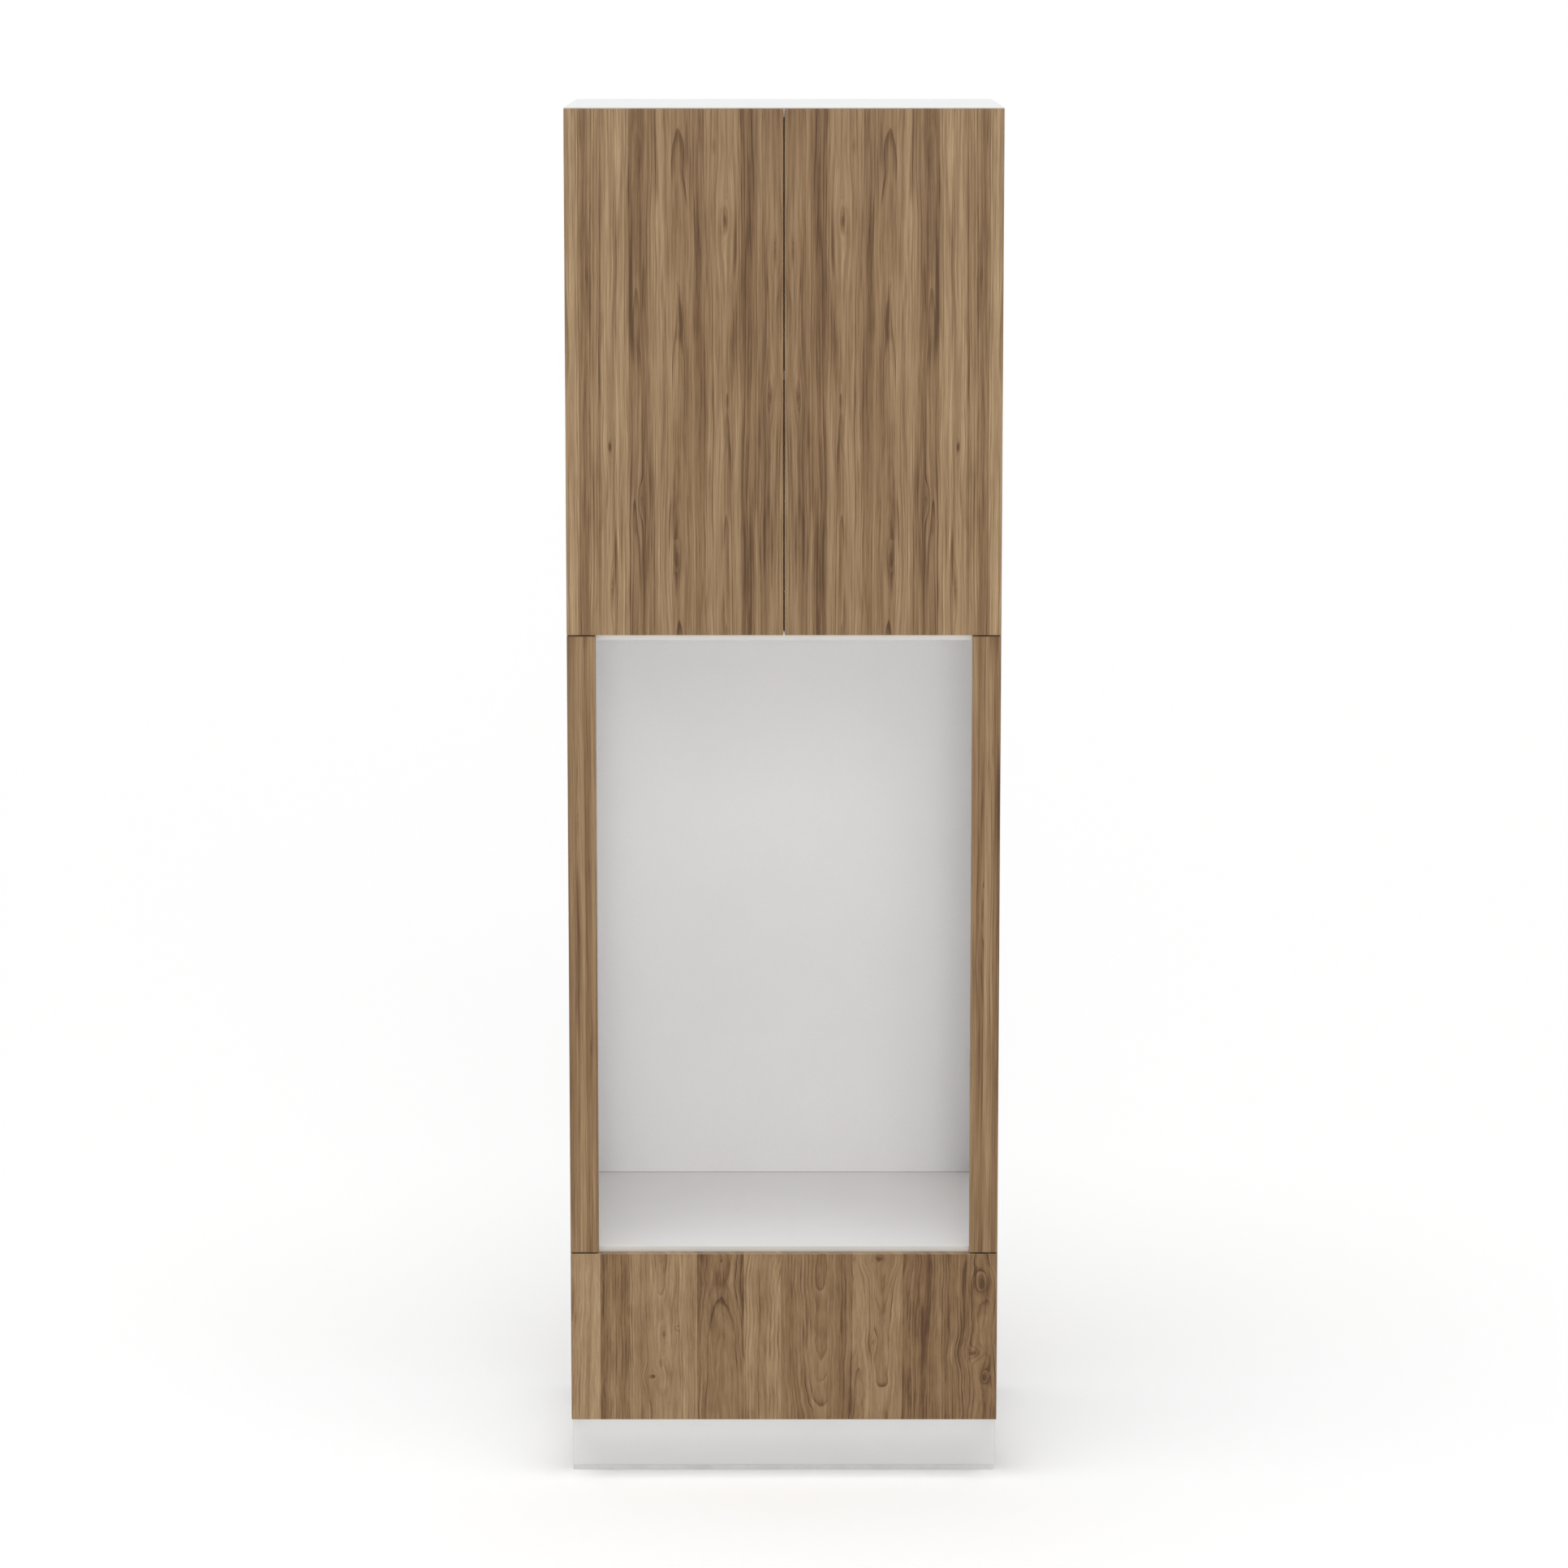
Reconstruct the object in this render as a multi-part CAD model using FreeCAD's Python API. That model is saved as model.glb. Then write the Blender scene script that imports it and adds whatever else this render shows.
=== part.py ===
import FreeCAD, Part
import os
import math

# Tall oven cabinet: two doors above an open appliance niche, one deep drawer
# below, plinth and four adjustable legs.  Millimetres; +Z up, +X to the right
# seen from the front, the front looks along -Y.  Origin: centre of the
# footprint on the floor.

# ---------------------------------------------------------------- sizes
W = 700.0                  # carcass width
D_BACK = 290.0             # rear plane of the carcass
Y_EDGE = -270.0            # front edges of the carcass boards
Y_FRONT = -290.0           # face of doors and drawer front
H = 2240.0                 # overall height
T = 15.0                   # carcass board
TF = 18.0                  # front board
GAP = 2.0                  # reveal between fronts, and front to carcass
REVEAL_SIDE = 1.0          # fronts stop this short of the carcass side
R_EDGE = 0.8               # softened edges of the fronts
Z_BASE = 100.0             # underside of the carcass
BACK_T = 3.0               # back panel
Y_BACK = 265.0             # front face of the back panel
GROOVE = 6.0               # groove depth for the back panel
Z_NFLOOR = 373.0           # underside of the niche floor board
Z_NCEIL = 1390.0           # underside of the niche ceiling board
Z_TOP = H - T

Z_DRW0, Z_DRW1 = 101.0, 380.0      # drawer front
Z_FIL0, Z_FIL1 = 382.0, 1398.0     # filler strips
Z_DOOR0, Z_DOOR1 = 1400.0, 2239.0  # doors
FILLER_IN = 303.0                  # inner edge of a filler strip
FILLER_Y = -288.0                  # face of a filler strip

XS = W / 2.0               # outer face of a side panel
XI = XS - T                # inner face of a side panel
XF = XS - REVEAL_SIDE      # outer edge of the fronts

# hinges
CUP_R, CUP_DEPTH, CUP_OFF = 17.5, 11.5, 21.5
HINGE_Z = (1500.0, 2139.0)
PLATE_Y = Y_EDGE + 37.0

# drawer box
DB_X = XI - 13.0           # outer face of a drawer side
DB_T = 15.0
DB_Y0, DB_Y1 = -272.0, 188.0
DB_Z0, DB_Z1 = 128.0, 318.0
DB_BOT_Z, DB_BOT_T = 140.0, 6.0

# runners
RUN_Z = 223.0
RUN_Y0, RUN_Y1 = -268.0, 182.0
RUN_SCREW_Y = (-233.0, -40.0, 150.0)
BALL_R = 1.7
BALL_Y0, BALL_STEP, BALL_N = -140.0, 39.0, 6

# legs
LEG_X = 285.0
LEG_Y = (-180.0, 230.0)
LEG_R, STEM_R, FIT = 16.0, 11.0, 0.08

V = FreeCAD.Vector


def box(x0, x1, y0, y1, z0, z1):
    x0, x1 = min(x0, x1), max(x0, x1)
    y0, y1 = min(y0, y1), max(y0, y1)
    z0, z1 = min(z0, z1), max(z0, z1)
    return Part.makeBox(x1 - x0, y1 - y0, z1 - z0, V(x0, y0, z0))


def cyl(x, y, z, d, r, h):
    """Cylinder from (x, y, z) along the unit direction d."""
    return Part.makeCylinder(r, h, V(x, y, z), V(*d))


def mirror(s):
    return s.mirror(V(0, 0, 0), V(1, 0, 0))


def both(s):
    return [s, mirror(s)]


def cut(s, tools):
    if not tools:
        return s
    out = s.cut(tools)
    return out


def fuse(shapes):
    out = shapes[0].fuse(shapes[1:])
    return out.removeSplitter()


def solids(shapes):
    out = []
    for s in shapes:
        out.extend(s.Solids)
    return out


os.makedirs("parts", exist_ok=True)
MADE = []


def write(name, shapes):
    if not isinstance(shapes, (list, tuple)):
        shapes = [shapes]
    ss = solids(shapes)
    shape = ss[0] if len(ss) == 1 else Part.makeCompound(ss)
    shape.exportStep("parts/%s.step" % name)
    MADE.append((name, len(ss)))


# ---------------------------------------------------------------- joinery
# Positions are for the left half; the right half mirrors them.
JOIN_Y = (-220.0, 215.0)
DOWEL_Y = (-150.0, 150.0)
CAM_R, CAM_D, CAM_OFF = 7.5, 12.0, 24.0

side_holes = []        # bores in the left side panel
cams, bolts, dowels = [], [], []
panel_cuts = {}        # board -> bores, both halves

for board, z0, from_top in (("bottom", Z_BASE, False),
                            ("nfloor", Z_NFLOOR, False),
                            ("nceil", Z_NCEIL, True)):
    zc = z0 + T / 2
    cuts = []
    for y in JOIN_Y:
        z_cam = z0 + T - CAM_D if from_top else z0
        pocket = cyl(-(XI - CAM_OFF), y, z_cam, (0, 0, 1), CAM_R, CAM_D)
        shaft = cyl(-XI, y, zc, (1, 0, 0), 3.0, CAM_OFF)
        cuts += both(pocket) + both(shaft)
        slot = box(-(XI - CAM_OFF) - 5, -(XI - CAM_OFF) + 5, y - 0.6, y + 0.6,
                   z_cam if not from_top else z_cam + CAM_D - 1.5,
                   z_cam + 1.5 if not from_top else z_cam + CAM_D)
        cams += both(pocket.cut(slot))
        b = fuse([shaft.cut(pocket).common(box(-XI, -XI + CAM_OFF, y - 4, y + 4, zc - 4, zc + 4)),
                  cyl(-XI - 11, y, zc, (1, 0, 0), 2.5, 11)])
        bolts += both(b)
        side_holes.append(cyl(-XI - 11, y, zc, (1, 0, 0), 2.5, 11))
    for y in DOWEL_Y:
        d = cyl(-XI - 10, y, zc, (1, 0, 0), 4.0, 30)
        dowels += both(d)
        cuts += both(d)
        side_holes.append(d)
    panel_cuts[board] = cuts

top_cuts = []
for y in JOIN_Y:
    xc = -(XI + T / 2)
    pocket = cyl(-XI - CAM_D, y, Z_TOP - CAM_OFF, (1, 0, 0), CAM_R, CAM_D)
    shaft = cyl(xc, y, Z_TOP - CAM_OFF, (0, 0, 1), 3.0, CAM_OFF)
    slot = box(-XI - 1.5, -XI, y - 0.6, y + 0.6, Z_TOP - CAM_OFF - 5, Z_TOP - CAM_OFF + 5)
    cams += both(pocket.cut(slot))
    tip = cyl(xc, y, Z_TOP, (0, 0, 1), 2.5, 10)
    bolts += both(fuse([shaft.cut(pocket), tip]))
    side_holes += [pocket, shaft]
    top_cuts += both(tip)
for y in DOWEL_Y:
    d = cyl(-(XI + T / 2), y, Z_TOP - 20, (0, 0, 1), 4.0, 30)
    dowels += both(d)
    side_holes.append(d)
    top_cuts += both(d)

RAILS = {"back_rail_top": (2145.0, Z_TOP), "back_rail_bottom": (115.0, 195.0)}
RAIL_Y0 = D_BACK - T
rail_cuts = {}
for name, (z0, z1) in RAILS.items():
    rail_cuts[name] = []
    for z in (z0 + 20, z1 - 20):
        d = cyl(-XI - 10, RAIL_Y0 + T / 2, z, (1, 0, 0), 4.0, 30)
        dowels += both(d)
        rail_cuts[name] += both(d)
        side_holes.append(d)

# rows of bores for the adjustable shelf
SHELF_Z = 1807.0
PIN_Z = SHELF_Z - 2.5
PIN_Y = (-200.0, 200.0)
for y in PIN_Y:
    for i in range(-3, 4):
        side_holes.append(cyl(-XI - 10, y, PIN_Z + 32.0 * i, (1, 0, 0), 2.5, 10))

# system screws: hinge plates and cabinet rails of the runners
system_screws = []
for zc in HINGE_Z:
    for dz in (-16.0, 16.0):
        shank = cyl(-XI - 11, PLATE_Y, zc + dz, (1, 0, 0), 2.5, 13)
        head = cyl(-XI + 2, PLATE_Y, zc + dz, (1, 0, 0), 4.2, 1.8)
        slot = box(-XI + 2.8, -XI + 3.8, PLATE_Y - 2.6, PLATE_Y + 2.6, zc + dz - 0.6, zc + dz + 0.6)
        slot2 = box(-XI + 2.8, -XI + 3.8, PLATE_Y - 0.6, PLATE_Y + 0.6, zc + dz - 2.6, zc + dz + 2.6)
        system_screws += both(fuse([shank, head]).cut([slot, slot2]))
        side_holes.append(cyl(-XI - 11, PLATE_Y, zc + dz, (1, 0, 0), 2.5, 11))
for y in RUN_SCREW_Y:
    shank = cyl(-XI - 11, y, RUN_Z, (1, 0, 0), 2.5, 12.2)
    head = cyl(-XI + 1.2, y, RUN_Z, (1, 0, 0), 4.2, 0.9)
    system_screws += both(fuse([shank, head]))
    side_holes.append(cyl(-XI - 11, y, RUN_Z, (1, 0, 0), 2.5, 11))

# battens behind the filler strips, with their screws
BAT_IN, BAT_Y1 = 306.0, -252.0
BAT_SCREW_Z = (480.0, 889.0, 1298.0)
chip_screws = []
bat_holes, fil_holes = [], []
for z in BAT_SCREW_Z:
    # batten into side panel
    shank = cyl(-BAT_IN, -261.0, z, (-1, 0, 0), 2.0, 41)
    head = Part.makeCone(4.0, 2.0, 2.0, V(-BAT_IN, -261.0, z), V(-1, 0, 0))
    s = fuse([shank, head])
    chip_screws += both(s)
    bat_holes.append(s)
    side_holes.append(cyl(-XI, -261.0, z, (-1, 0, 0), 2.0, 12))
    # batten into filler strip
    zz = z + 40
    shank = cyl(-320.0, BAT_Y1, zz, (0, -1, 0), 2.0, 30)
    head = Part.makeCone(4.0, 2.0, 2.0, V(-320.0, BAT_Y1, zz), V(0, -1, 0))
    s = fuse([shank, head])
    chip_screws += both(s)
    bat_holes.append(s)
    fil_holes.append(s)

# leg flanges into the bottom board
leg_holes = []
for ly in LEG_Y:
    for dx in (-27.0, 27.0):
        for dy in (-27.0, 27.0):
            shank = cyl(-LEG_X + dx, ly + dy, Z_BASE - 4, (0, 0, 1), 2.0, 14)
            head = cyl(-LEG_X + dx, ly + dy, Z_BASE - 5.8, (0, 0, 1), 3.8, 1.8)
            chip_screws += both(fuse([shank, head]))
            leg_holes += both(cyl(-LEG_X + dx, ly + dy, Z_BASE, (0, 0, 1), 2.0, 10))

# ---------------------------------------------------------------- carcass
side = box(-XS, -XI, Y_EDGE, D_BACK, Z_BASE, Z_TOP)
groove = box(-XI - GROOVE - 0.1, -XI, Y_BACK, Y_BACK + BACK_T + 0.1, Z_BASE, Z_TOP)
side = cut(side, side_holes + [groove])
write("side_panel_left", side)
write("side_panel_right", mirror(side))

top = cut(box(-XS, XS, Y_EDGE, D_BACK, Z_TOP, H), top_cuts)
write("top_panel", top)
write("bottom_panel", cut(box(-XI, XI, Y_EDGE, Y_BACK, Z_BASE, Z_BASE + T),
                          panel_cuts["bottom"] + leg_holes))
write("niche_floor_panel", cut(box(-XI, XI, Y_EDGE, Y_BACK, Z_NFLOOR, Z_NFLOOR + T),
                               panel_cuts["nfloor"]))
write("niche_ceiling_panel", cut(box(-XI, XI, Y_EDGE, Y_BACK, Z_NCEIL, Z_NCEIL + T),
                                 panel_cuts["nceil"]))

XB = XI + GROOVE
SPLIT = Z_NCEIL + T / 2
WALL_X, WALL_Z = 200.0, 2185.0
wall_holes = both(cyl(-WALL_X, Y_BACK - 1, WALL_Z, (0, 1, 0), 3.5, 30))
write("back_panel_upper", cut(box(-XB, XB, Y_BACK, Y_BACK + BACK_T, SPLIT + 0.5, Z_TOP), wall_holes))
write("back_panel_lower", box(-XB, XB, Y_BACK, Y_BACK + BACK_T, Z_BASE, SPLIT - 0.5))
for name, (z0, z1) in RAILS.items():
    tools = rail_cuts[name] + (wall_holes if name == "back_rail_top" else [])
    write(name, cut(box(-XI, XI, RAIL_Y0, D_BACK, z0, z1), tools))

write("adjustable_shelf", box(-XI + 2, XI - 2, -250, 262, SHELF_Z, SHELF_Z + T))
pins = []
for y in PIN_Y:
    peg = cyl(-XI - 10, y, PIN_Z, (1, 0, 0), 2.5, 20)
    collar = cyl(-XI, y, PIN_Z, (1, 0, 0), 4.0, 1.6)
    pins += both(fuse([peg, collar]))
write("shelf_pins", pins)

write("cam_locks", cams)
write("cam_bolts", bolts)
write("wood_dowels", dowels)

# ---------------------------------------------------------------- doors


def soft(s):
    return s.makeFillet(R_EDGE, s.Edges)


door = soft(box(-XF, -GAP / 2, Y_FRONT, Y_FRONT + TF, Z_DOOR0, Z_DOOR1))
yb = Y_FRONT + TF                  # back face of the fronts
cup_x = -XF + CUP_OFF
door_tools, cups, cup_screws = [], [], []
for zc in HINGE_Z:
    door_tools.append(cyl(cup_x, yb - CUP_DEPTH, zc, (0, 1, 0), CUP_R, CUP_DEPTH + 1))
    shell = cyl(cup_x, yb - CUP_DEPTH, zc, (0, 1, 0), CUP_R, CUP_DEPTH + 1.2)
    rim = cyl(cup_x, yb, zc, (0, 1, 0), CUP_R + 1.2, 1.2)
    wing = box(cup_x - 8.5, cup_x + 14.5, yb, yb + 1.2, zc - 31, zc + 31)
    wing = wing.makeFillet(6.0, [e for e in wing.Edges
                                 if abs(e.tangentAt(e.FirstParameter).y) > 0.9])
    hollow = cyl(cup_x, yb - CUP_DEPTH + 0.8, zc, (0, 1, 0), CUP_R - 0.8, 20)
    cup = fuse([shell, rim, wing]).cut(hollow)
    holes = []
    for dz in (-24.0, 24.0):
        shank = cyl(cup_x + 5.5, yb - 11, zc + dz, (0, 1, 0), 1.75, 12.2)
        head = cyl(cup_x + 5.5, yb + 1.2, zc + dz, (0, 1, 0), 3.4, 1.1)
        slot = box(cup_x + 3.6, cup_x + 7.4, yb + 1.7, yb + 2.4, zc + dz - 0.5, zc + dz + 0.5)
        slot2 = box(cup_x + 5.0, cup_x + 6.0, yb + 1.7, yb + 2.4, zc + dz - 1.9, zc + dz + 1.9)
        cup_screws.append(fuse([shank, head]).cut([slot, slot2]))
        holes.append(shank)
    cups.append(cup.cut(holes))
    door_tools += holes
door = cut(door, door_tools)
write("door_left", door)
write("door_right", mirror(door))
write("hinge_cups_left", cups)
write("hinge_cups_right", [mirror(c) for c in cups])
write("hinge_cup_screws_left", cup_screws)
write("hinge_cup_screws_right", [mirror(c) for c in cup_screws])

# hinge arms on cross-shaped mounting plates
plates, arms, arm_screws = [], [], []
for zc in HINGE_Z:
    wing = box(-XI, -XI + 2, PLATE_Y - 10, PLATE_Y + 10, zc - 23, zc + 23)
    wing = wing.makeFillet(5.0, [e for e in wing.Edges
                                 if abs(e.tangentAt(e.FirstParameter).x) > 0.9])
    rail = box(-XI, -XI + 8, -260, -208, zc - 6, zc + 6)
    # the plate screws pass through the wings
    plate = fuse([wing, rail])
    ph = [cyl(-XI - 1, PLATE_Y, zc + dz, (1, 0, 0), 2.5, 4) for dz in (-16.0, 16.0)]
    # long slotted arm over the rail, cranked tip reaching into the cup
    web = box(-XI + 8.2, -XI + 10.2, -264, -206, zc - 8.5, zc + 8.5)
    fl1 = box(-XI + 3.0, -XI + 8.2, -256, -206, zc + 6.3, zc + 8.5)
    fl2 = box(-XI + 3.0, -XI + 8.2, -256, -206, zc - 8.5, zc - 6.3)
    neck = box(-XI + 6, -XI + 16, -276, -262, zc - 6.5, zc + 6.5)
    tip = cyl(-XI + 11, -276, zc - 6.5, (0, 0, 1), 5.0, 13.0)
    arm = fuse([web, fl1, fl2, neck, tip])
    pin = cyl(-XI + 11, -276, zc - 8.0, (0, 0, 1), 1.8, 16.0)
    arm = fuse([arm, pin])
    ah = []
    for y in (-246.0, -216.0):
        shank = cyl(-XI + 4, y, zc, (1, 0, 0), 1.9, 6.2)
        head = cyl(-XI + 10.2, y, zc, (1, 0, 0), 3.6, 1.6)
        slot = box(-XI + 11.0, -XI + 11.8, y - 2.6, y + 2.6, zc - 0.5, zc + 0.5)
        slot2 = box(-XI + 11.0, -XI + 11.8, y - 0.5, y + 0.5, zc - 2.6, zc + 2.6)
        arm_screws += both(fuse([shank, head]).cut([slot, slot2]))
        ah.append(shank)
    plates += both(plate.cut(ph + ah))
    arms += both(arm.cut(ah))
write("hinge_plates", plates)
write("hinge_arms", arms)
write("hinge_arm_screws", arm_screws)

# small clear bumper near the meeting edge of each door
bump = cyl(-25, yb, 2232.5, (0, 1, 0), 4.0, 1.6)
bump = bump.makeFillet(0.6, [bump.Edges[0]]) if False else bump
write("door_bumper_left", bump)
write("door_bumper_right", mirror(bump))

# ---------------------------------------------------------------- filler strips
fil = soft(box(-XF, -FILLER_IN, FILLER_Y, Y_EDGE, Z_FIL0, Z_FIL1))
fil = cut(fil, fil_holes)
write("filler_strip_left", fil)
write("filler_strip_right", mirror(fil))
bat = cut(box(-XI, -BAT_IN, Y_EDGE, BAT_Y1, Z_NFLOOR + T, Z_NCEIL), bat_holes)
write("filler_batten_left", bat)
write("filler_batten_right", mirror(bat))

# ---------------------------------------------------------------- drawer
dfront = soft(box(-XF, XF, Y_FRONT, Y_FRONT + TF, Z_DRW0, Z_DRW1))
DXI = DB_X - DB_T
subfront = box(-DXI, DXI, DB_Y0, DB_Y0 + DB_T, DB_Z0, DB_Z1)
dback = box(-DXI, DXI, DB_Y1 - DB_T, DB_Y1, DB_Z0, DB_Z1)
dside = box(-DB_X, -DXI, DB_Y0, DB_Y1, DB_Z0, DB_Z1)
bottom = box(-DXI - 6, DXI + 6, DB_Y0 + DB_T - 6, DB_Y1 - DB_T + 6, DB_BOT_Z, DB_BOT_Z + DB_BOT_T)
drawer_screws, front_holes, sub_holes, dside_holes = [], [], [], []
for x in (-240.0, 240.0):
    for z in (170.0, 280.0):
        shank = cyl(x, DB_Y0 + DB_T, z, (0, -1, 0), 2.0, 27)
        head = cyl(x, DB_Y0 + DB_T, z, (0, 1, 0), 4.2, 2.2)
        drawer_screws.append(fuse([shank, head]))
        front_holes.append(shank)
        sub_holes.append(shank)
for y in RUN_SCREW_Y:
    shank = cyl(-XI + 11.8, y, RUN_Z, (1, 0, 0), 2.0, 13.2)
    head = cyl(-XI + 10.9, y, RUN_Z, (1, 0, 0), 4.2, 0.9)
    drawer_screws += both(fuse([shank, head]))
    dside_holes.append(shank)
write("drawer_front", cut(dfront, front_holes))
write("drawer_subfront", cut(subfront, sub_holes + [bottom]))
write("drawer_back", cut(dback, [bottom]))
dside = cut(dside, dside_holes + [bottom])
write("drawer_side_left", dside)
write("drawer_side_right", mirror(dside))
write("drawer_bottom", bottom)
write("drawer_screws", drawer_screws)
write("drawer_bumpers", [cyl(sx * 342.5, yb, z, (0, 1, 0), 3.0, 1.6)
                         for sx in (-1, 1) for z in (120.0, 358.0)])

# ---------------------------------------------------------------- runners
# full-extension ball-bearing runners, 45 mm high, 13 mm thick


def rsec(u0, u1, w0, w1, y0=RUN_Y0, y1=RUN_Y1):
    """Strip of the runner section: u from the side panel, w from mid height,
    made above and below the middle."""
    return [box(-XI + u0, -XI + u1, y0, y1, RUN_Z + w0, RUN_Z + w1),
            box(-XI + u0, -XI + u1, y0, y1, RUN_Z - w1, RUN_Z - w0)]


outer = fuse([box(-XI, -XI + 1.2, RUN_Y0, RUN_Y1, RUN_Z - 22.7, RUN_Z + 22.7)]
             + rsec(0, 9.8, 21.5, 22.7) + rsec(8.6, 9.8, 20.6, 21.5))
outer = outer.cut([cyl(-XI - 1, y, RUN_Z, (1, 0, 0), 2.5, 4) for y in RUN_SCREW_Y])
middle = fuse([box(-XI + 2.4, -XI + 3.6, RUN_Y0, RUN_Y1, RUN_Z - 17.7, RUN_Z + 17.7)]
              + rsec(2.4, 10.8, 16.5, 17.7))
middle = middle.cut([cyl(-XI + 2, y, RUN_Z, (1, 0, 0), 5.0, 2)
                     for y in (-140.0, 60.0)])
inner = fuse([box(-XI + 11.8, -XI + 13.0, RUN_Y0, RUN_Y1, RUN_Z - 12.7, RUN_Z + 12.7)]
             + rsec(5.2, 13.0, 11.5, 12.7))
inner = inner.cut([cyl(-XI + 11, y, RUN_Z, (1, 0, 0), 2.0, 4) for y in RUN_SCREW_Y])
write("runner_outer_rails", both(outer))
write("runner_middle_rails", both(middle))
write("runner_inner_rails", both(inner))


def cage(u0, u1, uc, w0, w1):
    strips, balls = [], []
    y0, y1 = BALL_Y0 - 8, BALL_Y0 + BALL_STEP * (BALL_N - 1) + 8
    wc = (w0 + w1) / 2
    ys = [BALL_Y0 + BALL_STEP * i for i in range(BALL_N)]
    for sgn, st in zip((1, -1), rsec(u0, u1, w0, w1, y0, y1)):
        st = st.cut([cyl(-XI + uc, y, RUN_Z + sgn * wc - 2, (0, 0, 1), BALL_R + 0.05, 4) for y in ys])
        strips += both(st)
        for y in ys:
            balls += both(Part.makeSphere(BALL_R, V(-XI + uc, y, RUN_Z + sgn * wc)))
    return strips, balls


s, b = cage(2.2, 7.8, 5.0, 19.3, 19.9)
write("runner_outer_cages", s)
write("runner_outer_balls", b)
s, b = cage(5.2, 10.8, 8.0, 14.3, 14.9)
write("runner_inner_cages", s)
write("runner_inner_balls", b)

# ---------------------------------------------------------------- push latches
LATCH_X, LATCH_Z = 25.0, 2217.5
DLX, DLZ = 328.0, 350.0
housings = []
for hx, hz in ((-LATCH_X, LATCH_Z), (-DLX, DLZ)):
    h = box(hx - 7, hx + 7, -268, -200, hz - 7.5, hz + 7.5)
    h = h.makeFillet(2.0, [e for e in h.Edges if abs(e.tangentAt(e.FirstParameter).y) > 0.9]) \
        if hz != LATCH_Z else h
    h = h.cut(cyl(hx, -270, hz, (0, 1, 0), 3.0 + FIT, 62))
    housings += both(h)
write("latch_housings", housings)


def plunger(px, pz):
    stem = cyl(px, -270.8, pz, (0, 1, 0), 3.0, 56)
    nose = Part.makeCone(2.2, 3.0, 1.0, V(px, -271.8, pz), V(0, 1, 0))
    return fuse([stem, nose])


write("latch_plunger_left", plunger(-LATCH_X, LATCH_Z))
write("latch_plunger_right", plunger(LATCH_X, LATCH_Z))
write("drawer_latch_plungers", both(plunger(-DLX, DLZ)))

# ---------------------------------------------------------------- plinth and legs
PL_Y0, PL_T, PL_Z0, PL_Z1 = -232.0, 15.0, 3.0, 98.0
plinth = box(-XF, XF, PL_Y0, PL_Y0 + PL_T, PL_Z0, PL_Z1)
write("plinth_board", plinth)
seal = box(-XF, XF, PL_Y0 - 1.0, PL_Y0 + PL_T + 1.0, 0, 7.0).cut(plinth)
write("plinth_seal", seal)

sockets, clips = [], []
for ly in LEG_Y:
    flange = box(-LEG_X - 35, -LEG_X + 35, ly - 35, ly + 35, Z_BASE - 4, Z_BASE)
    flange = flange.makeFillet(9.0, [e for e in flange.Edges
                                     if abs(e.tangentAt(e.FirstParameter).z) > 0.9])
    tube = cyl(-LEG_X, ly, 38, (0, 0, 1), LEG_R, Z_BASE - 4 - 38)
    ribs = [box(-LEG_X - 29, -LEG_X + 29, ly - 1.5, ly + 1.5, Z_BASE - 18, Z_BASE - 4),
            box(-LEG_X - 1.5, -LEG_X + 1.5, ly - 29, ly + 29, Z_BASE - 18, Z_BASE - 4)]
    bore = cyl(-LEG_X, ly, 30, (0, 0, 1), STEM_R + FIT, 64)
    holes = [cyl(-LEG_X + dx, ly + dy, Z_BASE - 5, (0, 0, 1), 2.0, 6)
             for dx in (-27.0, 27.0) for dy in (-27.0, 27.0)]
    sockets += both(fuse([flange, tube] + ribs).cut([bore] + holes))
write("leg_sockets", sockets)
for tag, sx, ly in (("front_left", -1, LEG_Y[0]), ("front_right", 1, LEG_Y[0]),
                    ("rear_left", -1, LEG_Y[1]), ("rear_right", 1, LEG_Y[1])):
    x = sx * LEG_X
    pad = cyl(x, ly, 0, (0, 0, 1), 25.0, 9.0)
    pad = pad.makeFillet(2.5, [e for e in pad.Edges if abs(e.BoundBox.ZMax - 9.0) < 1e-3
                               and abs(e.BoundBox.ZMin - 9.0) < 1e-3])
    collar = cyl(x, ly, 9, (0, 0, 1), 14.0, 5.0)
    stem = cyl(x, ly, 14, (0, 0, 1), STEM_R, 68)
    grips = [cyl(x + 25.0 * math.cos(a), ly + 25.0 * math.sin(a), -1, (0, 0, 1), 2.0, 12)
             for a in [math.radians(30 * k + 15) for k in range(12)]]
    write("foot_" + tag, fuse([pad, collar, stem]).cut(grips))

ly = LEG_Y[0]
ring = cyl(-LEG_X, ly, 50, (0, 0, 1), LEG_R + 2.5, 18).cut(
    [cyl(-LEG_X, ly, 49, (0, 0, 1), LEG_R + 0.05, 20),
     box(-LEG_X - 30, -LEG_X + 30, ly + 8, ly + 30, 49, 70)])
neck = box(-LEG_X - 8, -LEG_X + 8, PL_Y0 + PL_T + 2, ly - LEG_R - 1.0, 50, 68)
base = box(-LEG_X - 22, -LEG_X + 22, PL_Y0 + PL_T, PL_Y0 + PL_T + 2.5, 42, 76)
write("plinth_clips", both(fuse([ring, neck, base])))

write("system_screws", system_screws)
write("chipboard_screws", chip_screws)

print(len(MADE), "nodes")
for n, k in MADE:
    print(n, k)
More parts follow.
